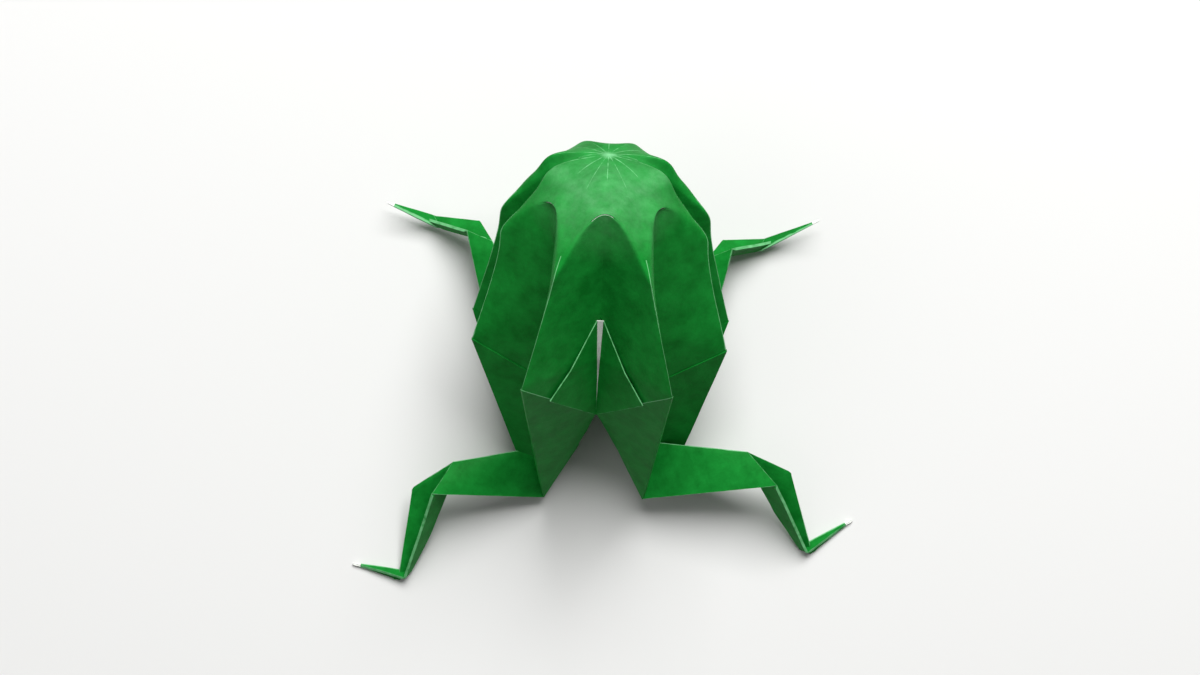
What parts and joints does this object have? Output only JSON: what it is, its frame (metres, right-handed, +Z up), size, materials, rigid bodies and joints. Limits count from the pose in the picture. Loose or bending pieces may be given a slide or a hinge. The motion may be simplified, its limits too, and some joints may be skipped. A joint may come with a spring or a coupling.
{
  "type": "origami frog",
  "caption": "Puffed-up origami frog folded from a square sheet: hollow ridged body with petal folds, bent hind legs flat on the table and short front legs.",
  "frame": {"origin": "middle of the frog's outline on the table, at the height of the hind soles", "axes": "+Z up, away from the table; +Y towards the frog's nose; +X to the frog's right"},
  "size_m": [0.0722, 0.062, 0.0445],
  "materials": {
    "paper": "matt coloured paper, green on the outside and white on the inside"
  },
  "bodies": {
    "root": {"folded_sheet": "paper"}
  },
  "joints": []
}
